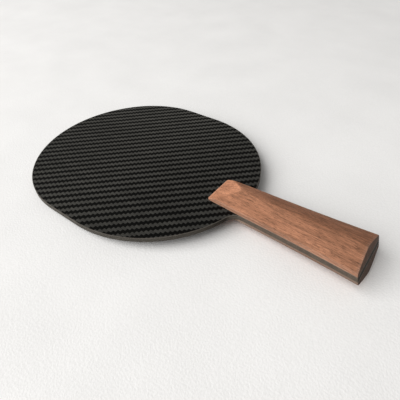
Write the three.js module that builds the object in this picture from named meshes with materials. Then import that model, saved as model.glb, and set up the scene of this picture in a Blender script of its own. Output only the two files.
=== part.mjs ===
import * as THREE from 'three';

// A table tennis paddle: a stiff laminated carbon plate with a tang at one end, and two wooden
// scales glued to the tang as its handle.
// Millimetres. The origin is the centre of the blade on its forehand (upper) face.
// +X runs along the handle to its butt, +Y across the blade, +Z out of the forehand face.

// Driving dimensions: the blade's outline
const BLADE_WIDTH = 150;
const TIP_X = -88;
const TIP_RADIUS = 77;
const TIP_ARC_HALF_ANGLE = 50;
const SHOULDER_RADIUS = 78;
const SHOULDER_CENTRE_X = 10;
const NECK_FILLET_RADIUS = 8;

// Driving dimensions: the handle's outline
const SCALE_FRONT_X = 65.5;
const SCALE_FRONT_HALF_WIDTH = 11.6;
const SCALE_CORNER_RADIUS = 1.75;
const TANG_HALF_WIDTH = 13;
const FLARE_CONTROL_X = 135;
const FLARE_CONTROL_HALF_WIDTH = 14.3;
const BUTT_X = 165.3;
const BUTT_HALF_WIDTH = 16.8;
const BUTT_LEAN = 0.255;

// Driving dimensions: thicknesses and heights
const SKIN_THICKNESS = 0.25;
const CORE_PLY_THICKNESS = 0.3;
const CORE_PLY_COUNT = 9;
const GLUE_THICKNESS = 0.2;
const SCALE_WALL_HEIGHT = 2.2;
const SCALE_CROWN_HEIGHT = 7.4;
const RAMP_FOOT_HEIGHT = 0.7;
const RAMP_LENGTH = 18;

// How finely the round stretches are cut
const TIP_STEPS = 20;
const SIDE_STEPS = 8;
const SHOULDER_STEPS = 14;
const FILLET_STEPS = 5;
const FLARE_STEPS = 8;
const CORNER_STEPS = 3;
const RAMP_STEPS = 8;
const CROWN_STEPS = 6;

const PLATE_THICKNESS = 2 * SKIN_THICKNESS + CORE_PLY_COUNT * CORE_PLY_THICKNESS;
const RIGHT_ANGLE = Math.PI / 2;
const SMALLEST_STEP = 0.001;

// Points on a circle between two angles, both ends included
function arcPoints(centreX, centreY, radius, fromAngle, toAngle, steps) {
  const points = [];
  for (let step = 0; step <= steps; step += 1) {
    const angle = fromAngle + ((toAngle - fromAngle) * step) / steps;
    points.push(new THREE.Vector2(centreX + radius * Math.cos(angle), centreY + radius * Math.sin(angle)));
  }
  return points;
}

// The shoulder arc meets the straight side at the blade's full width, and the neck fillet
// touches both the shoulder arc and the tang's side.
const halfWidth = BLADE_WIDTH / 2;
const shoulderCentreY = halfWidth - SHOULDER_RADIUS;
const filletCentreY = TANG_HALF_WIDTH + NECK_FILLET_RADIUS;
const filletRise = filletCentreY - shoulderCentreY;
const filletReach = Math.sqrt((SHOULDER_RADIUS + NECK_FILLET_RADIUS) ** 2 - filletRise ** 2);
const filletCentreX = SHOULDER_CENTRE_X + filletReach;
const filletAngle = Math.atan2(filletRise, filletReach);

// The butt is cut at a slight lean, so its end stands further out the lower it is. This is where
// the cut is at a height above the plate's middle plane.
function buttAt(height) {
  return BUTT_X - BUTT_LEAN * height;
}

// The edge of the tang from the neck fillet to the butt, for +Y: it flares towards the butt
function tangEdge(height) {
  const flare = new THREE.QuadraticBezierCurve(
    new THREE.Vector2(filletCentreX, TANG_HALF_WIDTH),
    new THREE.Vector2(FLARE_CONTROL_X, FLARE_CONTROL_HALF_WIDTH),
    new THREE.Vector2(buttAt(height), BUTT_HALF_WIDTH),
  );
  return flare.getPoints(FLARE_STEPS);
}

// The edge of the blade from the tip to the neck, for +Y. The tip arc turns into a tighter arc,
// which meets the straight side.
function bladeEdge() {
  const tipCentreX = TIP_X + TIP_RADIUS;
  const tipArcAngle = THREE.MathUtils.degToRad(TIP_ARC_HALF_ANGLE);
  const joinAngle = Math.PI - tipArcAngle;
  const sideRadius = (halfWidth - TIP_RADIUS * Math.sin(joinAngle)) / (1 - Math.sin(joinAngle));
  const centreShift = TIP_RADIUS - sideRadius;
  const sideCentreX = tipCentreX + centreShift * Math.cos(joinAngle);
  const sideCentreY = centreShift * Math.sin(joinAngle);
  const tip = arcPoints(tipCentreX, 0, TIP_RADIUS, Math.PI, joinAngle, TIP_STEPS / 2);
  const side = arcPoints(sideCentreX, sideCentreY, sideRadius, joinAngle, RIGHT_ANGLE, SIDE_STEPS);
  const shoulder = arcPoints(
    SHOULDER_CENTRE_X, shoulderCentreY, SHOULDER_RADIUS, RIGHT_ANGLE, filletAngle, SHOULDER_STEPS,
  );
  const fillet = arcPoints(
    filletCentreX, filletCentreY, NECK_FILLET_RADIUS, filletAngle + Math.PI, 3 * RIGHT_ANGLE, FILLET_STEPS,
  );
  return [...tip, ...side.slice(1), ...shoulder, ...fillet.slice(1)];
}

// The edge of a handle scale from its rounded front corner to the butt, for +Y
function scaleEdge(height) {
  const corner = arcPoints(0, 0, SCALE_CORNER_RADIUS, Math.PI, RIGHT_ANGLE, CORNER_STEPS);
  for (const point of corner) {
    point.x += SCALE_FRONT_X + SCALE_CORNER_RADIUS;
    point.y += SCALE_FRONT_HALF_WIDTH - SCALE_CORNER_RADIUS;
  }
  const taper = new THREE.LineCurve(
    corner[CORNER_STEPS],
    new THREE.Vector2(filletCentreX, TANG_HALF_WIDTH),
  );
  const rampEndX = SCALE_FRONT_X + RAMP_LENGTH;
  const rampShare = (rampEndX - corner[CORNER_STEPS].x) / (filletCentreX - corner[CORNER_STEPS].x);
  const ramp = [];
  for (let step = 1; step <= RAMP_STEPS; step += 1) {
    ramp.push(taper.getPoint((rampShare * step) / RAMP_STEPS));
  }
  return [...corner, ...ramp, ...tangEdge(height)];
}

// A flat sheet whose outline is an edge and its mirror image across the X axis. A point on the
// axis itself isn't repeated.
function sheet(edge, thickness) {
  const offAxis = edge.filter((point) => point.y > SMALLEST_STEP);
  const farEdge = offAxis.map((point) => new THREE.Vector2(point.x, -point.y));
  const outline = new THREE.Shape([...edge, ...farEdge.reverse()]);
  return new THREE.ExtrudeGeometry(outline, { depth: thickness, bevelEnabled: false });
}

// Height of a scale's surface above its glued face. Across, it rises from the side wall to a soft
// ridge, and the leading end is cut back to a ramp.
function scaleHeight(x, share) {
  const slope = (SCALE_CROWN_HEIGHT - RAMP_FOOT_HEIGHT) / RAMP_LENGTH;
  const ramp = RAMP_FOOT_HEIGHT + slope * (x - SCALE_FRONT_X);
  const fall = (2 * Math.abs(share) + share ** 2) / 3;
  const crown = SCALE_CROWN_HEIGHT - (SCALE_CROWN_HEIGHT - SCALE_WALL_HEIGHT) * fall;
  return Math.min(ramp, crown);
}

// One closed section across a scale: its glued face, a side wall, the crown and the other wall.
// Sections lean more and more towards the butt, where they reach the lean of the cut.
function scaleSection(edgePoint, lean) {
  const leanStart = SCALE_FRONT_X + RAMP_LENGTH;
  const share = THREE.MathUtils.clamp((edgePoint.x - leanStart) / (BUTT_X - leanStart), 0, 1);
  const place = (across, height) => (
    new THREE.Vector3(edgePoint.x - share * lean * height, edgePoint.y * across, height)
  );
  const section = [place(1, 0)];
  for (let step = CROWN_STEPS; step >= -CROWN_STEPS; step -= 1) {
    const across = step / CROWN_STEPS;
    section.push(place(across, scaleHeight(edgePoint.x, across)));
  }
  section.push(place(-1, 0));
  return section;
}

// A flat end face through a section, as triangles of its point numbers
function endFace(section) {
  const outline = section.map((point) => new THREE.Vector2(point.y, point.z));
  return THREE.ShapeUtils.triangulateShape(outline, []);
}

// A solid through closed sections that stand across the X axis, with a flat face at each end
function loft(sections) {
  const count = sections[0].length;
  const last = (sections.length - 1) * count;
  const indices = [];
  for (let near = 0; near < last; near += count) {
    const far = near + count;
    for (let corner = 0; corner < count; corner += 1) {
      const next = (corner + 1) % count;
      indices.push(near + corner, near + next, far + corner);
      indices.push(near + next, far + next, far + corner);
    }
  }
  for (const [a, b, c] of endFace(sections[0])) {
    indices.push(a, c, b);
  }
  for (const [a, b, c] of endFace(sections.at(-1))) {
    indices.push(last + a, last + b, last + c);
  }
  const geometry = new THREE.BufferGeometry().setFromPoints(sections.flat());
  geometry.setIndex(indices);
  geometry.computeVertexNormals();
  return geometry;
}

function scaleSolid(lean) {
  const height = PLATE_THICKNESS / 2 + GLUE_THICKNESS;
  const edge = scaleEdge(Math.sign(lean) * height);
  return loft(edge.map((point) => scaleSection(point, lean)));
}

const paddle = new THREE.Group();

function addPart(parent, name, geometry, z, colour, roughness, metalness) {
  const material = new THREE.MeshStandardMaterial({ color: colour, roughness, metalness });
  const mesh = new THREE.Mesh(geometry, material);
  mesh.name = name;
  mesh.position.z = z;
  parent.add(mesh);
}

// One flat ply of the plate, between two heights over the forehand face
function addPly(name, low, thickness, colour, roughness) {
  const height = low + (thickness + PLATE_THICKNESS) / 2;
  const edge = [...bladeEdge(), ...tangEdge(height).slice(1)];
  addPart(paddle, name, sheet(edge, thickness), low, colour, roughness, 0.1);
}

// The plate: a woven skin, the core plies, and the other woven skin
function addPlate() {
  addPly('forehand_twill_ply', -SKIN_THICKNESS, SKIN_THICKNESS, 0x2c2c2e, 0.45);
  for (let ply = 1; ply <= CORE_PLY_COUNT; ply += 1) {
    const direction = ply % 2 === 1 ? 'lengthwise' : 'crosswise';
    const low = -SKIN_THICKNESS - ply * CORE_PLY_THICKNESS;
    addPly(`core_ply_${ply}_${direction}`, low, CORE_PLY_THICKNESS, 0x5b5a57, 0.6);
  }
  addPly('backhand_twill_ply', -PLATE_THICKNESS, SKIN_THICKNESS, 0x2c2c2e, 0.45);
}

// One side of the handle: a glue film on the tang, and a wooden scale on the film
function addHandleSide(parent, side, lean) {
  const filmHeight = Math.sign(lean) * (PLATE_THICKNESS + GLUE_THICKNESS) / 2;
  const film = sheet(scaleEdge(filmHeight), GLUE_THICKNESS);
  addPart(parent, `${side}_glue_film`, film, 0, 0xa8895a, 0.4, 0);
  addPart(parent, `${side}_scale`, scaleSolid(lean), GLUE_THICKNESS, 0xb87a52, 0.55, 0);
}

// The backhand side is turned over, so the cut's lean is the other way round there
const backhandSide = new THREE.Group();
backhandSide.rotation.x = Math.PI;
backhandSide.position.z = -PLATE_THICKNESS;
paddle.add(backhandSide);

addPlate();
addHandleSide(paddle, 'forehand', BUTT_LEAN);
addHandleSide(backhandSide, 'backhand', -BUTT_LEAN);

export default paddle;
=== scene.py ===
"""A bare table tennis paddle: a laminated carbon plate with a wooden scale on either side of its tang.

Lengths are millimetres until a mesh is made; the frame and every Blender object are in metres.
+X runs along the handle to its butt, +Y across the blade, +Z out of the forehand face.
"""

import math

import bpy
import numpy as np
from mathutils import Matrix, Vector


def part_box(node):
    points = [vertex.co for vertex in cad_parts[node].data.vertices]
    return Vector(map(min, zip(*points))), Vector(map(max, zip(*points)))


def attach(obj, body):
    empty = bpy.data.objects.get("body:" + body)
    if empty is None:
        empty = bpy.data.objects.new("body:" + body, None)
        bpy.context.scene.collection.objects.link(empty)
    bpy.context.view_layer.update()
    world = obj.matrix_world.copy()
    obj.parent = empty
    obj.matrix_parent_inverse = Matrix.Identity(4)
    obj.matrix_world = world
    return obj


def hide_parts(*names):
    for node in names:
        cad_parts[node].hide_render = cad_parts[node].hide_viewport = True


MM = 0.001

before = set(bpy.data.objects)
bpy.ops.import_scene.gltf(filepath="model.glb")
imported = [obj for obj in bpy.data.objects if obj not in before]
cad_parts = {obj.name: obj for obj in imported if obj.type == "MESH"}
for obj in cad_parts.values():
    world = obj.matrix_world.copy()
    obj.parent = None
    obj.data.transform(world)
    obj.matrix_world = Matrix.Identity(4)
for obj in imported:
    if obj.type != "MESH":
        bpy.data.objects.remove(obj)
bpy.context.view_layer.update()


def box_mm(node):
    """A CAD node's lowest and highest corners, in millimetres."""
    low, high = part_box(node)
    return np.array(low) / MM, np.array(high) / MM


# ---------------------------------------------------------------- dimensions

# Read from the frame
PLATE_LOW, PLATE_HIGH = box_mm("forehand_twill_ply")
TIP_X = PLATE_LOW[0]
HALF_WIDTH = PLATE_HIGH[1]
UPPER_LOW, UPPER_HIGH = box_mm("forehand_scale")
SCALE_FRONT_X = UPPER_LOW[0]
SCALE_CROWN_HEIGHT = UPPER_HIGH[2] - UPPER_LOW[2]
BUTT_HALF_WIDTH = UPPER_HIGH[1]
LOWER_LOW, LOWER_HIGH = box_mm("backhand_scale")
LOWER_CROWN_Z = LOWER_LOW[2]
PLATE_BOTTOM_Z = box_mm("backhand_twill_ply")[0][2]
MIDDLE_Z = PLATE_BOTTOM_Z / 2
CORE_PLIES = sorted(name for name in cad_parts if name.startswith("core_ply_"))

# The blade's outline
TIP_RADIUS = 77
TIP_ARC_HALF_ANGLE = math.radians(50)
SHOULDER_RADIUS = 78
SHOULDER_CENTRE_X = 10
NECK_FILLET_RADIUS = 8

# The handle's outline. Its butt end leans by BUTT_LEAN along X for each millimetre up.
TANG_HALF_WIDTH = 13
FLARE_CONTROL_X = 135
FLARE_CONTROL_HALF_WIDTH = 14.3
BUTT_LEAN = 0.255
BUTT_X = LOWER_HIGH[0] + BUTT_LEAN * (LOWER_CROWN_Z - MIDDLE_Z)
SCALE_FRONT_HALF_WIDTH = 11.6
SCALE_CORNER_RADIUS = 1.75

# The scales' heights above their glued faces, and their softened edges
SCALE_WALL_HEIGHT = 2.2
RAMP_FOOT_HEIGHT = 0.7
RAMP_LENGTH = 18
RAMP_EDGE_SOFTNESS = 0.35
FRONT_EDGE_RADIUS = 0.25
RIDGE_SOFTNESS = 1.3
WALL_EDGE_RADIUS = 0.9
WALL_EDGE_SHARE = 0.6
BUTT_EDGE_RADIUS = 0.45

# How far along X the ends are rubbed, and how much the walls' rounded edges and the skins' edges are.
# Their lighter colour is partly wear and partly a painted edge highlight.
END_WEAR_REACH = 0.8
CORNER_WEAR_AND_HIGHLIGHT = 0.4
SKIN_FOOT_WEAR = 0.5

# The plies' and glue films' edges
SKIN_EDGE_RADIUS = 0.16
SKIN_WEAR_REACH = 0.48
PLY_GROOVE_DEPTH = 0.03
PLY_GROOVE_HEIGHT = 0.05
CROSSWISE_SETBACK = 0.02
GLUE_SETBACK = 0.02

# How finely the meshes are cut: steps in millimetres, and numbers of points
OUTLINE_STEP = 1.6
TANG_STEP = 3.2
SCALE_STEP = 1.5
FEWEST_ARC_STEPS = 5
FRONT_CORNER_POINTS = 12
RAMP_POINTS = 60
BUTT_EDGE_POINTS = 6
SKIN_EDGE_POINTS = 5
WALL_POINTS = 4
WALL_EDGE_POINTS = 8
CROWN_POINTS = 26
SMALLEST_OFFSET = 0.001
SHARP_ANGLE = math.radians(35)
QUARTER = math.pi / 2


# ---------------------------------------------------------------- outlines


def arc(centre, radius, start, end):
    """Points about OUTLINE_STEP apart on an arc, both ends included."""
    steps = max(FEWEST_ARC_STEPS, round(abs(end - start) * radius / OUTLINE_STEP))
    angles = np.linspace(start, end, steps + 1)
    return np.c_[centre[0] + radius * np.cos(angles), centre[1] + radius * np.sin(angles)]


def neck_end_x():
    """Where the neck fillet runs out into the tang's side."""
    rise = TANG_HALF_WIDTH + NECK_FILLET_RADIUS - (HALF_WIDTH - SHOULDER_RADIUS)
    return SHOULDER_CENTRE_X + math.sqrt((SHOULDER_RADIUS + NECK_FILLET_RADIUS) ** 2 - rise**2)


NECK_END_X = neck_end_x()


def handle_half_width(x):
    """Half the handle's width at x: a straight taper up to the neck, then a flare to the butt."""
    if x <= NECK_END_X:
        share = (x - SCALE_FRONT_X) / (NECK_END_X - SCALE_FRONT_X)
        return SCALE_FRONT_HALF_WIDTH + share * (TANG_HALF_WIDTH - SCALE_FRONT_HALF_WIDTH)
    bend = NECK_END_X - 2 * FLARE_CONTROL_X + BUTT_X
    run = FLARE_CONTROL_X - NECK_END_X
    t = (math.sqrt(run**2 + bend * (x - NECK_END_X)) - run) / bend
    neck_part = (1 - t) ** 2 * TANG_HALF_WIDTH
    return neck_part + 2 * t * (1 - t) * FLARE_CONTROL_HALF_WIDTH + t**2 * BUTT_HALF_WIDTH


def rounded_drop(distance, radius):
    """How far a corner rounded to radius falls away, at a distance from the corner's end."""
    reach = max(0.0, radius - distance)
    return radius - math.sqrt(max(0.0, radius**2 - reach**2))


def scale_half_width(x):
    """The handle's half width with its front corners rounded, and its butt corners eased."""
    front = rounded_drop(x - SCALE_FRONT_X, SCALE_CORNER_RADIUS)
    butt = rounded_drop(BUTT_X - x, BUTT_EDGE_RADIUS)
    return handle_half_width(x) - front - butt


def blade_edge():
    """The blade's edge from the tip to the neck, on the +Y side."""
    tip_centre_x = TIP_X + TIP_RADIUS
    join = math.pi - TIP_ARC_HALF_ANGLE
    side_radius = (HALF_WIDTH - TIP_RADIUS * math.sin(join)) / (1 - math.sin(join))
    shift = TIP_RADIUS - side_radius
    side_centre = (tip_centre_x + shift * math.cos(join), shift * math.sin(join))
    shoulder_centre = (SHOULDER_CENTRE_X, HALF_WIDTH - SHOULDER_RADIUS)
    fillet_centre = (NECK_END_X, TANG_HALF_WIDTH + NECK_FILLET_RADIUS)
    meet = math.atan2(fillet_centre[1] - shoulder_centre[1], fillet_centre[0] - shoulder_centre[0])
    return np.vstack(
        [
            arc((tip_centre_x, 0), TIP_RADIUS, math.pi, join),
            arc(side_centre, side_radius, join, QUARTER)[1:],
            arc(shoulder_centre, SHOULDER_RADIUS, QUARTER, meet),
            arc(fillet_centre, NECK_FILLET_RADIUS, meet + math.pi, 3 * QUARTER)[1:],
        ]
    )


def eased_stations(start, end, step):
    """Stations along X that close up towards the rounded butt edge at the end."""
    steps = round((end - BUTT_EDGE_RADIUS - start) / step)
    rounding = end - BUTT_EDGE_RADIUS * (1 - np.sin(np.linspace(0, QUARTER, BUTT_EDGE_POINTS)))
    return np.r_[np.linspace(start, end - BUTT_EDGE_RADIUS, steps + 1), rounding[1:]]


def closed(edge):
    """An edge and its mirror image across the X axis, as one closed outline."""
    mirrored = edge[::-1] * (1, -1)
    return np.vstack([edge, mirrored[np.abs(mirrored[:, 1]) > SMALLEST_OFFSET]])


def plate_outline():
    """The plate's closed outline: the blade's edge, and the tang flush with the handle's sides."""
    stations = eased_stations(NECK_END_X, BUTT_X, TANG_STEP)[1:]
    tang = [(x, scale_half_width(x)) for x in stations]
    return closed(np.vstack([blade_edge(), tang]))


def scale_stations():
    """Stations along a scale: close together at the front corners and on the ramp."""
    corner = SCALE_CORNER_RADIUS * (1 - np.cos(np.linspace(0, QUARTER, FRONT_CORNER_POINTS)))
    ramp_start = SCALE_FRONT_X + SCALE_CORNER_RADIUS
    ramp_end = SCALE_FRONT_X + RAMP_LENGTH + SCALE_STEP
    ramp = np.linspace(ramp_start, ramp_end, RAMP_POINTS)
    return np.r_[SCALE_FRONT_X + corner, ramp[1:], eased_stations(ramp_end, BUTT_X, SCALE_STEP)[1:]]


def offset(outline, inset):
    """A closed outline moved inwards by a small distance."""
    along = np.roll(outline, -1, axis=0) - np.roll(outline, 1, axis=0)
    along /= np.linalg.norm(along, axis=1)[:, None]
    inward = np.c_[along[:, 1], -along[:, 0]]
    return outline + inset * inward


# ---------------------------------------------------------------- meshes


def stack(name, rings, wear):
    """A closed solid through rings of equal length, in millimetres, with a flat face at each end.

    wear holds a number from 0 to 1 for each point: how much handling and sanding have rubbed it, and so
    how much painted edge highlight it takes.
    """
    count = len(rings[0])
    vertices = lean(np.vstack(rings)) * MM
    faces = []
    for ring in range(len(rings) - 1):
        near, far = ring * count, (ring + 1) * count
        for corner in range(count):
            following = (corner + 1) % count
            faces.append((near + corner, near + following, far + following, far + corner))
    last = (len(rings) - 1) * count
    faces.append(tuple(range(count - 1, -1, -1)))
    faces.append(tuple(range(last, last + count)))
    mesh = bpy.data.meshes.new(name)
    mesh.from_pydata(vertices.tolist(), [], faces)
    if signed_volume(vertices, faces) < 0:
        mesh.flip_normals()
    mesh.shade_smooth()
    mesh.set_sharp_from_angle(angle=SHARP_ANGLE)
    layer = mesh.attributes.new("wear", "FLOAT", "POINT")
    layer.data.foreach_set("value", np.hstack(wear).astype(np.float32))
    piece = bpy.data.objects.new(name, mesh)
    bpy.context.scene.collection.objects.link(piece)
    return piece


def lean(points):
    """Points near the butt moved along X, so that its end takes the lean of the cut."""
    start = SCALE_FRONT_X + RAMP_LENGTH
    share = np.clip((points[:, 0] - start) / (BUTT_X - start), 0, 1)
    leaning = points.copy()
    leaning[:, 0] -= share * BUTT_LEAN * (points[:, 2] - MIDDLE_Z)
    return leaning


def signed_volume(vertices, faces):
    """Positive where the faces point out."""
    total = 0.0
    for face in faces:
        first = vertices[face[0]]
        corners = vertices[list(face)]
        spokes = np.cross(corners[1:-1] - first, corners[2:] - first)
        total += float(spokes.sum(axis=0) @ first)
    return total


def finish_piece(piece, node, material):
    """A piece that stands for one CAD node and moves with the paddle's only body."""
    piece.data.materials.append(material)
    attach(piece, "root")
    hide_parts(node)


def make_sheet(node, profile, outline, material):
    """A flat piece: its outline repeated up a profile of (inset, z, wear) steps."""
    rings = []
    wear = []
    for inset, z, rubbed in profile:
        ring = offset(outline, inset)
        rings.append(np.c_[ring, np.full(len(ring), z)])
        wear.append(np.full(len(ring), rubbed))
    finish_piece(stack(f"{node}_piece", rings, wear), node, material)


def make_core_ply(outline, node, material):
    """A core ply whose cut edge stands out slightly between its grooved boundaries."""
    low, high = box_mm(node)
    setback = CROSSWISE_SETBACK if node.endswith("crosswise") else 0.0
    groove = setback + PLY_GROOVE_DEPTH
    profile = [
        (groove, low[2], 0),
        (setback, low[2] + PLY_GROOVE_HEIGHT, 1),
        (setback, high[2] - PLY_GROOVE_HEIGHT, 1),
        (groove, high[2], 0),
    ]
    make_sheet(node, profile, outline, material)


def make_skin(outline, node, side, material):
    """A woven skin, with its outer edge broken to a small radius. side is 1 for the upper face."""
    low, high = box_mm(node)
    inner, outer = (low[2], high[2]) if side > 0 else (high[2], low[2])
    profile = [(PLY_GROOVE_DEPTH, inner, 0), (0.0, inner + side * PLY_GROOVE_HEIGHT, SKIN_FOOT_WEAR)]
    for angle in np.linspace(0, QUARTER, SKIN_EDGE_POINTS):
        inset = SKIN_EDGE_RADIUS * (1 - math.cos(angle))
        profile.append((inset, outer - side * SKIN_EDGE_RADIUS * (1 - math.sin(angle)), 1))
    profile.append((SKIN_WEAR_REACH, outer, 0))
    make_sheet(node, profile, outline, material)


def make_glue_film(node, material):
    """A thin film of cured glue, set back slightly from the scale's sides."""
    low, high = box_mm(node)
    outline = closed(np.array([(x, scale_half_width(x)) for x in scale_stations()]))
    profile = [(GLUE_SETBACK, low[2], 0), (GLUE_SETBACK, high[2], 0)]
    make_sheet(node, profile, outline, material)


def crown_height(x, y, half_width):
    """A scale's surface above its glued face: a soft ridge falling to the walls, cut by the ramp.

    The fall is slightly steeper next to the walls than next to the ridge.
    """
    soft = math.sqrt(y**2 + RIDGE_SOFTNESS**2) - RIDGE_SOFTNESS
    share = soft / (math.sqrt(half_width**2 + RIDGE_SOFTNESS**2) - RIDGE_SOFTNESS)
    fall = (2 * share + share**2) / 3
    crown = SCALE_CROWN_HEIGHT - (SCALE_CROWN_HEIGHT - SCALE_WALL_HEIGHT) * fall
    slope = (SCALE_CROWN_HEIGHT - RAMP_FOOT_HEIGHT) / RAMP_LENGTH
    ramp = RAMP_FOOT_HEIGHT + slope * (x - SCALE_FRONT_X)
    gap = math.sqrt((crown - ramp) ** 2 + RAMP_EDGE_SOFTNESS**2)
    height = (crown + ramp - gap) / 2
    front = rounded_drop(x - SCALE_FRONT_X, FRONT_EDGE_RADIUS)
    butt = rounded_drop(BUTT_X - x, BUTT_EDGE_RADIUS)
    return height - front - butt


def scale_section(x):
    """Rows (y, height, wear) round one section of a scale, from one foot over the crown to the other."""
    half_width = scale_half_width(x)
    full_width = handle_half_width(x)
    edge_height = crown_height(x, half_width, full_width)
    radius = min(WALL_EDGE_RADIUS, WALL_EDGE_SHARE * edge_height)
    wall = edge_height - radius
    side = [(half_width, share * wall, 1 - share) for share in np.linspace(0, 1, WALL_POINTS)]
    shoulder_y = half_width - radius
    start = np.array(side[-1][:2])
    corner = np.array((half_width, edge_height))
    end = np.array((shoulder_y, crown_height(x, shoulder_y, full_width)))
    for t in np.linspace(0, 1, WALL_EDGE_POINTS)[1:]:
        y, height = (1 - t) ** 2 * start + 2 * t * (1 - t) * corner + t**2 * end
        side.append((y, height, CORNER_WEAR_AND_HIGHLIGHT * math.sin(math.pi * t)))
    for share in np.linspace(1, 0, CROWN_POINTS)[1:]:
        y = shoulder_y * share
        side.append((y, crown_height(x, y, full_width), 0))
    side = np.array(side)
    return np.vstack([side, side[-2::-1] * (-1, 1, 1)])


def make_scale(node, side, material):
    """A wooden handle scale. side is 1 for the upper one and -1 for the lower one."""
    low, high = box_mm(node)
    foot = low[2] if side > 0 else high[2]
    rings = []
    wear = []
    for x in scale_stations():
        y, height, rubbed = scale_section(x).T
        from_end = min(x - SCALE_FRONT_X, BUTT_X - x)
        end_wear = max(0.0, 1 - from_end / END_WEAR_REACH)
        rings.append(np.c_[np.full(len(y), x), y, foot + side * height])
        wear.append(np.maximum(rubbed, end_wear))
    finish_piece(stack(f"{node}_piece", rings, wear), node, material)


# ---------------------------------------------------------------- materials

# Colours are linear.
# The lighter tow colour is a painted sheen: the light that tows along X reflect, put into their colour.
TOW_PAINTED_SHEEN = (0.046, 0.0445, 0.0395, 1)
TOW_DARK = (0.0017, 0.0016, 0.0012, 1)
# The rubbed skin colour is partly wear and partly a painted edge highlight.
SKIN_RUBBED_AND_HIGHLIGHT = (0.13, 0.115, 0.098, 1)
CORE_LENGTHWISE = (0.101, 0.091, 0.077, 1)
CORE_CROSSWISE = (0.056, 0.051, 0.043, 1)
CORE_GROOVE = (0.02, 0.017, 0.014, 1)
CORE_DUSTY = (0.13, 0.087, 0.058, 1)
CORE_END = (0.009, 0.0065, 0.004, 1)
WOOD_PALE = (0.4, 0.185, 0.106, 1)
WOOD_RED = (0.268, 0.117, 0.064, 1)
WOOD_STREAK = (0.14, 0.069, 0.041, 1)
WOOD_PORE = (0.05, 0.026, 0.017, 1)
# The rubbed wood colour is partly wear and partly a painted edge highlight.
WOOD_RUBBED_AND_HIGHLIGHT = (0.41, 0.265, 0.2, 1)
WOOD_DUSTY_AND_SHADED = (0.155, 0.116, 0.092, 1)
GLUE_THIN = (0.07, 0.05, 0.032, 1)
GLUE_THICK = (0.15, 0.105, 0.065, 1)
FLOOR_TONE = (0.86, 0.85, 0.835)

# Noise textures, each in cells per millimetre along X, Y and Z
TOW_WAVER = (0.05, 0.05, 0.05)
X_TOW_FIBRES = (0.15, 6, 1)
Y_TOW_FIBRES = (6, 0.15, 1)
X_TOW_TONES = (0.01, 0.45, 0.1)
Y_TOW_TONES = (0.45, 0.01, 0.1)
SKIN_SCUFFS = (0.08, 0.08, 0.08)
CORE_MOTTLE = (0.3, 0.3, 2)
CORE_SCRATCHES = (0.6, 0.6, 12)
GRAIN_WAVER = (0.015, 0.06, 0.06)
WOOD_BROAD_FIGURE = (0.012, 0.14, 0.14)
WOOD_FINE_FIGURE = (0.06, 0.35, 0.35)
WOOD_STREAKS = (0.02, 1.0, 1.0)
WOOD_DASHES = (0.12, 2.0, 2.0)
WOOD_PORES = (0.3, 5, 5)
WOOD_FIBRES = (0.4, 9, 9)
GLUE_CLOUD = (0.4, 0.4, 2)
FLOOR_CLOUD = (0.02, 0.02, 0.02)
FLOOR_NAP = (0.9, 0.9, 0.9)

# Most of a noise's values lie between these two.
NOISE_LOW = 0.3
NOISE_HIGH = 0.7

# The weave is counted in cells one tow wide. A tow floats over FLOAT_CELLS of them, then dives under.
TOW_WIDTH = 2.004
WEAVE_TURN = math.radians(-1.13)
WEAVE_START = (2.65, 0.75)
FLOAT_CELLS = 2

# How far the tows waver, in cells, how flat their tops are, and how far their fibres stand out
TOW_SWAY = 0.1
TOW_FLATNESS = 4.0
TOW_FIBRE_RELIEF = 0.15

# Wood grain runs a little askew, by GRAIN_SLOPE, and sways from side to side, in millimetres.
GRAIN_SLOPE = 0.06
GRAIN_SWAY = 0.8
GRAIN_DRIFT_WAY = (0, 1, 0.5)
WOOD_FIBRE_RELIEF = 0.35

# How much carbon dust and painted shade lie in each scale's walls and end grain, and how the end grain
# darkens with them; the lower, backhand scale takes the most painted shade
FOREHAND_DUST_AND_SHADE = 0.1
BACKHAND_DUST_AND_SHADE = 0.8
# The end grain's level is partly the wood's dark end grain and partly painted shade, as the butt faces
# away from the light.
END_GRAIN_AND_SHADE_LEVEL = 0.37
END_GRAIN_DUST_AND_SHADE = 0.14

# What a noise brings at its low and high ends: tones multiply a colour, shares mix one in
TOW_FIBRE_TONES = (0.72, 1.3)
TOW_TONES = (0.85, 1.2)
SCUFF_TONES = (0.92, 1.1)
SKIN_RUB_SHARES = (0.5, 0.9)
TOW_ROUGHNESS = (0.45, 0.62)
CORE_MOTTLE_TONES = (0.75, 1.25)
CORE_SCRATCH_TONES = (0.8, 1.2)
CORE_DUST_PATCHES = (0.8, 1.2)
CORE_ROUGHNESS = (0.5, 0.7)
WOOD_FIBRE_TONES = (0.82, 1.18)
WOOD_FIGURE_TONES = (0.85, 1.15)
WOOD_RUB_SHARES = (0.2, 0.7)
WALL_DUST_PATCHES = (0.85, 1.15)
WOOD_ROUGHNESS = (0.55, 0.72)
GLUE_ROUGHNESS = (0.3, 0.5)
FLOOR_CLOUD_TONES = (0.97, 1.02)
FLOOR_NAP_TONES = (0.975, 1.02)

# Slopes of tone and of mixing, each as where it starts, where it ends, and its levels there
# Painted shade: tows are painted darker towards their edges, where they dip between one another.
TOW_GAP_PAINTED_SHADE = (0.0, 0.35, 0.5, 1.0)
# Painted shade and light on the weave: darker towards the handle and lighter towards +Y, for the way the
# light falls across the blade.
WEAVE_PAINTED_SHADE_ALONG = (0, 50, 1.03, 0.76)
WEAVE_PAINTED_LIGHT_ACROSS = (0, 60, 1.0, 1.2)
CORE_END_SHARE = (0.85, 0.95, 0, 1)
TANG_DUST_SHARE = (75, 100, 0, 0.35)
STREAK_SHARE = (0.45, 0.65, 0, 0.5)
DASH_SHARE = (0.53, 0.62, 0, 0.5)
PORE_SHARE = (0.56, 0.66, 0, 0.8)
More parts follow.
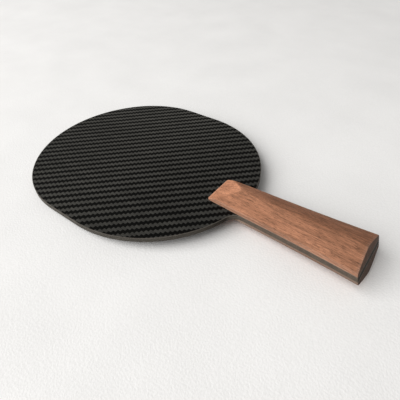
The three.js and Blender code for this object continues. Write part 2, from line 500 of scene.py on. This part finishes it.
# Painted light and shade on the wood: lighter at the handle's front and darker towards the butt, for the
# light falling off along the handle.
HANDLE_FRONT_PAINTED_LIGHT = (75, 115, 1.38, 1.06)
HANDLE_BUTT_PAINTED_SHADE = (115, 165, 1.0, 0.92)
# Painted light: faces that lean towards -X, as the ramp does, are painted lighter, as if lit more.
RAMP_PAINTED_LIGHT = (-0.33, -0.2, 1.36, 1.0)

# How squarely a face looks sideways, or out of the butt, where it starts to be side wall or end grain
# and where it wholly is
WALL_START = 0.55
WALL_END = 0.95
END_GRAIN_START = 0.75
END_GRAIN_END = 0.93

ALONG_X = (1, 0, 0)
ALONG_Y = (0, 1, 0)
X_AXIS = 0
Y_AXIS = 1

# Where a Mix node keeps its colours, among its inputs and its outputs
MIX_FIRST = 6
MIX_SECOND = 7
MIX_RESULT = 2


class Shader:
    """A material's node tree, built from short calls. A value is a number, a tuple or a socket."""

    def __init__(self, name):
        self.material = bpy.data.materials.new(name)
        self.material.use_nodes = True
        self.nodes = self.material.node_tree.nodes
        self.links = self.material.node_tree.links
        self.surface = self.nodes["Principled BSDF"]
        texture = self.nodes.new("ShaderNodeTexCoord")
        self.place = self.scaled(texture.outputs["Object"], 1 / MM)
        geometry = self.nodes.new("ShaderNodeNewGeometry")
        normal = self.nodes.new("ShaderNodeSeparateXYZ")
        self.links.new(geometry.outputs["Normal"], normal.inputs[0])
        self.normal = normal.outputs

    def feed(self, socket, value):
        """Links a socket to another one, or gives it a number or a tuple."""
        if isinstance(value, bpy.types.NodeSocket):
            self.links.new(value, socket)
        else:
            socket.default_value = value

    def compute(self, operation, *values):
        """The result of one Math node."""
        node = self.nodes.new("ShaderNodeMath")
        node.operation = operation
        for socket, value in zip(node.inputs, values):
            self.feed(socket, value)
        return node.outputs[0]

    def product(self, first, *others):
        """Numbers multiplied together."""
        for other in others:
            first = self.compute("MULTIPLY", first, other)
        return first

    def vector(self, operation, first, second):
        """The outputs of one Vector Math node."""
        node = self.nodes.new("ShaderNodeVectorMath")
        node.operation = operation
        self.feed(node.inputs[0], first)
        self.feed(node.inputs[1], second)
        return node.outputs

    def scaled(self, colour, factor):
        """A colour or vector times one number."""
        node = self.nodes.new("ShaderNodeVectorMath")
        node.operation = "SCALE"
        self.feed(node.inputs[0], colour)
        self.feed(node.inputs["Scale"], factor)
        return node.outputs[0]

    def along(self, direction):
        """The surface point's distance along a direction, in millimetres per its length."""
        return self.vector("DOT_PRODUCT", self.place, direction)["Value"]

    def wear(self):
        """How rubbed the surface is, and how much painted edge highlight it takes, from the mesh."""
        node = self.nodes.new("ShaderNodeAttribute")
        node.attribute_name = "wear"
        return node.outputs["Fac"]

    def facing(self, axis):
        """How squarely the surface faces along an axis, either way."""
        return self.compute("ABSOLUTE", self.normal[axis])

    def noise(self, texture, detail, seed):
        """Noise round 0.5."""
        node = self.nodes.new("ShaderNodeTexNoise")
        stretched = self.vector("MULTIPLY", self.place, texture)[0]
        self.feed(node.inputs["Vector"], self.vector("ADD", stretched, (seed, seed, seed))[0])
        node.inputs["Scale"].default_value = 1.0
        node.inputs["Detail"].default_value = detail
        return node.outputs["Fac"]

    def over(self, value, start, end, low, high):
        """low below start, high above end, and straight between them."""
        node = self.nodes.new("ShaderNodeMapRange")
        self.feed(node.inputs["Value"], value)
        for name, number in zip(("From Min", "From Max", "To Min", "To Max"), (start, end, low, high)):
            node.inputs[name].default_value = number
        return node.outputs["Result"]

    def spread(self, noise, low, high):
        """The range that noise mostly covers, brought to low and high."""
        return self.over(noise, NOISE_LOW, NOISE_HIGH, low, high)

    def either(self, mask, first, second):
        """The first number where the mask is 1, and the second where it is 0."""
        rest = self.compute("SUBTRACT", 1.0, mask)
        return self.compute("ADD", self.product(mask, first), self.product(rest, second))

    def hump(self, position, flatness):
        """1 in the middle of a span from 0 to 1, and 0 at both ends."""
        off = self.compute("ABSOLUTE", self.over(position, 0, 1, -1, 1))
        return self.compute("SUBTRACT", 1.0, self.compute("POWER", off, flatness))

    def mix(self, share, first, second):
        """A colour between two colours."""
        node = self.nodes.new("ShaderNodeMix")
        node.data_type = "RGBA"
        self.feed(node.inputs["Factor"], share)
        self.feed(node.inputs[MIX_FIRST], first)
        self.feed(node.inputs[MIX_SECOND], second)
        return node.outputs[MIX_RESULT]

    def finish(self, colour, roughness, relief, depth, specular):
        """Joins the surface up. relief is a height from 0 to 1, and depth is its size in millimetres."""
        bump = self.nodes.new("ShaderNodeBump")
        self.feed(bump.inputs["Height"], relief)
        bump.inputs["Distance"].default_value = depth * MM
        self.links.new(bump.outputs["Normal"], self.surface.inputs["Normal"])
        self.feed(self.surface.inputs["Base Color"], colour)
        self.feed(self.surface.inputs["Roughness"], roughness)
        self.surface.inputs["Specular IOR Level"].default_value = specular
        return self.material


def weave(shader):
    """A twill's mask, 1 where a tow along X is on top and 0 where one along Y is, and its height."""
    sway = shader.spread(shader.noise(TOW_WAVER, detail=1, seed=0), -TOW_SWAY, TOW_SWAY)
    along_x = (math.cos(WEAVE_TURN) / TOW_WIDTH, math.sin(WEAVE_TURN) / TOW_WIDTH, 0)
    along_y = (-along_x[1], along_x[0], 0)
    u = shader.compute("ADD", shader.along(along_x), shader.compute("ADD", sway, WEAVE_START[0]))
    v = shader.compute("ADD", shader.along(along_y), shader.compute("ADD", sway, WEAVE_START[1]))
    u_in_cell = shader.compute("FRACT", u)
    v_in_cell = shader.compute("FRACT", v)
    repeat = 2 * FLOAT_CELLS
    step = shader.compute("SUBTRACT", shader.compute("FLOOR", u), shader.compute("FLOOR", v))
    phase = shader.compute("FLOORED_MODULO", step, repeat)
    phase_back = shader.compute("SUBTRACT", repeat - 1, phase)
    on_x_tow = shader.compute("LESS_THAN", phase, FLOAT_CELLS - 0.5)  # phase is a whole number
    x_tow_place = shader.compute("DIVIDE", shader.compute("ADD", phase, u_in_cell), FLOAT_CELLS)
    y_tow_place = shader.compute("DIVIDE", shader.compute("ADD", phase_back, v_in_cell), FLOAT_CELLS)
    across = shader.either(
        on_x_tow, shader.hump(v_in_cell, TOW_FLATNESS), shader.hump(u_in_cell, TOW_FLATNESS)
    )
    along = shader.either(
        on_x_tow, shader.hump(x_tow_place, TOW_FLATNESS), shader.hump(y_tow_place, TOW_FLATNESS)
    )
    return on_x_tow, shader.product(across, along)


def twill_material():
    """2 by 2 twill of flat tows in clear matt resin. Tows along X are painted lighter than those along Y:
    a painted sheen for the light their fibres reflect.
    """
    shader = Shader("twill_weave")
    on_x_tow, height = weave(shader)
    fibres = shader.either(
        on_x_tow,
        shader.noise(X_TOW_FIBRES, detail=2, seed=11),
        shader.noise(Y_TOW_FIBRES, detail=2, seed=23),
    )
    tow_tone = shader.either(
        on_x_tow,
        shader.noise(X_TOW_TONES, detail=1, seed=31),
        shader.noise(Y_TOW_TONES, detail=1, seed=47),
    )
    scuffs = shader.noise(SKIN_SCUFFS, detail=4, seed=53)
    level = shader.product(
        shader.spread(fibres, *TOW_FIBRE_TONES),
        shader.spread(tow_tone, *TOW_TONES),
        shader.spread(scuffs, *SCUFF_TONES),
        # painted shade at the tows' edges
        shader.over(height, *TOW_GAP_PAINTED_SHADE),
        # painted shade towards the handle, and painted light towards +Y
        shader.over(shader.along(ALONG_X), *WEAVE_PAINTED_SHADE_ALONG),
        shader.over(shader.along(ALONG_Y), *WEAVE_PAINTED_LIGHT_ACROSS),
    )
    # Tows along X take the painted sheen colour, and tows along Y the dark carbon.
    colour = shader.scaled(shader.mix(on_x_tow, TOW_DARK, TOW_PAINTED_SHEEN), level)
    # rub wear and a painted edge highlight along the skin's edges
    rubbed = shader.product(shader.wear(), shader.spread(fibres, *SKIN_RUB_SHARES))
    return shader.finish(
        colour=shader.mix(rubbed, colour, SKIN_RUBBED_AND_HIGHLIGHT),
        roughness=shader.spread(fibres, *TOW_ROUGHNESS),
        relief=shader.compute("ADD", height, shader.product(fibres, TOW_FIBRE_RELIEF)),
        depth=0.06,
        specular=0.08,
    )


def core_material(name, tone, seed):
    """The cut edge of a core ply: fine scratches along it, dark grooves, and wood dust on the tang."""
    shader = Shader(name)
    mottle = shader.noise(CORE_MOTTLE, detail=3, seed=seed)
    scratches = shader.noise(CORE_SCRATCHES, detail=2, seed=seed + 5)
    level = shader.product(
        shader.spread(mottle, *CORE_MOTTLE_TONES), shader.spread(scratches, *CORE_SCRATCH_TONES)
    )
    colour = shader.mix(shader.wear(), CORE_GROOVE, tone)
    dust = shader.over(shader.along(ALONG_X), *TANG_DUST_SHARE)
    patchy_dust = shader.product(dust, shader.spread(mottle, *CORE_DUST_PATCHES))
    colour = shader.mix(patchy_dust, colour, CORE_DUSTY)
    colour = shader.mix(shader.over(shader.facing(X_AXIS), *CORE_END_SHARE), colour, CORE_END)
    return shader.finish(
        colour=shader.scaled(colour, level),
        roughness=shader.spread(mottle, *CORE_ROUGHNESS),
        relief=scratches,
        depth=0.02,
        specular=0.1,
    )


def sway_grain(shader, seed):
    """Moves the place that the wood's textures are read from, so that the grain isn't straight."""
    sway = shader.spread(shader.noise(GRAIN_WAVER, detail=1, seed=seed), -GRAIN_SWAY, GRAIN_SWAY)
    drift = shader.compute("ADD", shader.product(shader.along(ALONG_X), GRAIN_SLOPE), sway)
    shader.place = shader.vector("ADD", shader.place, shader.scaled(GRAIN_DRIFT_WAY, drift))[0]


def wood_material(name, seed, dust):
    """Reddish brown wood, sanded and unvarnished: streaks and open pores along X, and end grain darkened
    partly by its grain and partly by painted shade.

    dust is how much carbon dust the sanding left in the side walls and the end grain, together with
    painted shade there.
    """
    shader = Shader(name)
    sway_grain(shader, seed + 17)
    broad = shader.noise(WOOD_BROAD_FIGURE, detail=3, seed=seed)
    figure = shader.noise(WOOD_FINE_FIGURE, detail=3, seed=seed + 3)
    streaks = shader.noise(WOOD_STREAKS, detail=3, seed=seed + 5)
    dashes = shader.noise(WOOD_DASHES, detail=2, seed=seed + 7)
    pores = shader.noise(WOOD_PORES, detail=2, seed=seed + 11)
    fibres = shader.noise(WOOD_FIBRES, detail=2, seed=seed + 13)

    colour = shader.mix(shader.spread(broad, 0, 1), WOOD_PALE, WOOD_RED)
    colour = shader.mix(shader.over(streaks, *STREAK_SHARE), colour, WOOD_STREAK)
    colour = shader.mix(shader.over(dashes, *DASH_SHARE), colour, WOOD_STREAK)
    pore_mask = shader.over(pores, *PORE_SHARE)
    colour = shader.mix(pore_mask, colour, WOOD_PORE)
    # rub wear and a painted edge highlight along the scale's edges and ends
    rubbed = shader.product(shader.wear(), shader.spread(fibres, *WOOD_RUB_SHARES))
    colour = shader.mix(rubbed, colour, WOOD_RUBBED_AND_HIGHLIGHT)
    wall = shader.over(shader.facing(Y_AXIS), WALL_START, WALL_END, 0, dust)
    # Side walls take dust mixed with painted shade, most on the lower, backhand scale.
    wall_dust_and_shade = shader.product(wall, shader.spread(figure, *WALL_DUST_PATCHES))
    colour = shader.mix(wall_dust_and_shade, colour, WOOD_DUSTY_AND_SHADED)

    # End grain darkened partly by its grain and partly by painted shade.
    end_grain_and_shade = END_GRAIN_AND_SHADE_LEVEL - END_GRAIN_DUST_AND_SHADE * dust
    level = shader.product(
        shader.spread(fibres, *WOOD_FIBRE_TONES),
        shader.spread(figure, *WOOD_FIGURE_TONES),
        # painted light at the handle's front, and painted shade towards the butt
        shader.over(shader.along(ALONG_X), *HANDLE_FRONT_PAINTED_LIGHT),
        shader.over(shader.along(ALONG_X), *HANDLE_BUTT_PAINTED_SHADE),
        # painted light on the ramp
        shader.over(shader.normal[X_AXIS], *RAMP_PAINTED_LIGHT),
        shader.over(shader.normal[X_AXIS], END_GRAIN_START, END_GRAIN_END, 1.0, end_grain_and_shade),
    )
    return shader.finish(
        colour=shader.scaled(colour, level),
        roughness=shader.spread(fibres, *WOOD_ROUGHNESS),
        relief=shader.compute("SUBTRACT", shader.product(fibres, WOOD_FIBRE_RELIEF), pore_mask),
        depth=0.05,
        specular=0.08,
    )


def glue_material():
    """Cured glue, clouded from thin to thick."""
    shader = Shader("cured_glue")
    cloud = shader.noise(GLUE_CLOUD, detail=2, seed=3)
    return shader.finish(
        colour=shader.mix(cloud, GLUE_THIN, GLUE_THICK),
        roughness=shader.spread(cloud, *GLUE_ROUGHNESS),
        relief=cloud,
        depth=0.03,
        specular=0.5,
    )


def floor_material():
    """A pale matt surface with a faint nap."""
    shader = Shader("pale_floor")
    cloud = shader.noise(FLOOR_CLOUD, detail=3, seed=2)
    nap = shader.noise(FLOOR_NAP, detail=3, seed=8)
    level = shader.product(
        shader.spread(cloud, *FLOOR_CLOUD_TONES), shader.spread(nap, *FLOOR_NAP_TONES)
    )
    return shader.finish(
        colour=shader.scaled(FLOOR_TONE, level),
        roughness=0.9,
        relief=nap,
        depth=0.15,
        specular=0.1,
    )


# ---------------------------------------------------------------- the paddle


def make_paddle():
    """Every piece of the paddle, each in place of its CAD node."""
    outline = plate_outline()
    twill = twill_material()
    make_skin(outline, "forehand_twill_ply", 1, twill)
    make_skin(outline, "backhand_twill_ply", -1, twill)
    lengthwise = core_material("core_lengthwise", CORE_LENGTHWISE, seed=5)
    crosswise = core_material("core_crosswise", CORE_CROSSWISE, seed=9)
    for node in CORE_PLIES:
        make_core_ply(outline, node, lengthwise if node.endswith("lengthwise") else crosswise)
    glue = glue_material()
    sides = (("forehand", 1, 20, FOREHAND_DUST_AND_SHADE), ("backhand", -1, 60, BACKHAND_DUST_AND_SHADE))
    for prefix, side, seed, dust in sides:
        make_glue_film(f"{prefix}_glue_film", glue)
        make_scale(f"{prefix}_scale", side, wood_material(f"{prefix}_wood", seed, dust))


# ---------------------------------------------------------------- the setting

CAMERA_TURN = math.radians(-0.28)
CAMERA_PLACE = (174.8, -148.4, 156.5)
CAMERA_RIGHT = (0.7901, 0.6113, -0.0469)
CAMERA_DOWN = (0.3809, -0.5493, -0.7438)
CAMERA_LENS = 32.58
CAMERA_NEAR_LIMIT = 10
SENSOR_WIDTH = 36

FLOOR_SIZE = 4000
KEY_AZIMUTH = math.radians(240)
KEY_ELEVATION = math.radians(40)
KEY_DISTANCE = 2600
KEY_SIZE = 3000
KEY_POWER = 118
ROOM_COLOUR = (1.0, 0.99, 0.975, 1)
ROOM_STRENGTH = 0.26


def floor_slope():
    """How far the floor falls per millimetre along X, from the tip to where the lower ridge meets it."""
    drops = []
    for x in scale_stations():
        ridge_z = LOWER_HIGH[2] - crown_height(x, 0, handle_half_width(x))
        drops.append((PLATE_BOTTOM_Z - ridge_z) / (x - TIP_X))
    return max(drops)


def make_floor():
    """A plane that the paddle rests on with its tip and the front end of the lower scale's ridge."""
    along = Vector((1, 0, -floor_slope())).normalized()
    middle = Vector((TIP_X, 0, PLATE_BOTTOM_Z))
    across = Vector((0, 1, 0))
    half = FLOOR_SIZE / 2
    signs = ((-1, -1), (1, -1), (1, 1), (-1, 1))
    corners = [middle + along * half * a + across * half * b for a, b in signs]
    mesh = bpy.data.meshes.new("floor")
    mesh.from_pydata([tuple(corner * MM) for corner in corners], [], [(0, 1, 2, 3)])
    floor = bpy.data.objects.new("floor", mesh)
    floor.data.materials.append(floor_material())
    bpy.context.scene.collection.objects.link(floor)


def make_key():
    """A large soft light from beside the tip."""
    light = bpy.data.lights.new("key", "AREA")
    light.shape = "SQUARE"
    light.size = KEY_SIZE * MM
    light.energy = KEY_POWER
    lamp = bpy.data.objects.new("key", light)
    level = KEY_DISTANCE * math.cos(KEY_ELEVATION)
    height = KEY_DISTANCE * math.sin(KEY_ELEVATION)
    lamp.location = Vector((level * math.cos(KEY_AZIMUTH), level * math.sin(KEY_AZIMUTH), height)) * MM
    lamp.rotation_euler = (-lamp.location).to_track_quat("-Z", "Y").to_euler()
    bpy.context.scene.collection.objects.link(lamp)


def make_room():
    """An even pale light from all round."""
    world = bpy.data.worlds.new("soft_room")
    world.use_nodes = True
    background = world.node_tree.nodes["Background"]
    background.inputs["Color"].default_value = ROOM_COLOUR
    background.inputs["Strength"].default_value = ROOM_STRENGTH
    bpy.context.scene.world = world


def make_camera():
    """A camera above and beside the butt, turned about Z by CAMERA_TURN as a whole."""
    camera = bpy.data.cameras.new("camera")
    camera.sensor_width = SENSOR_WIDTH
    camera.lens = CAMERA_LENS
    camera.clip_start = CAMERA_NEAR_LIMIT * MM
    holder = bpy.data.objects.new("camera", camera)
    right = Vector(CAMERA_RIGHT).normalized()
    up = -Vector(CAMERA_DOWN).normalized()
    back = right.cross(up).normalized()
    up = back.cross(right)
    turn = Matrix((right, up, back)).transposed().to_4x4()
    about_z = Matrix.Rotation(CAMERA_TURN, 4, "Z")
    holder.matrix_world = about_z @ Matrix.Translation(Vector(CAMERA_PLACE) * MM) @ turn
    bpy.context.scene.collection.objects.link(holder)
    bpy.context.scene.camera = holder


make_paddle()
make_floor()
make_key()
make_room()
make_camera()
bpy.context.scene.view_settings.view_transform = "Standard"
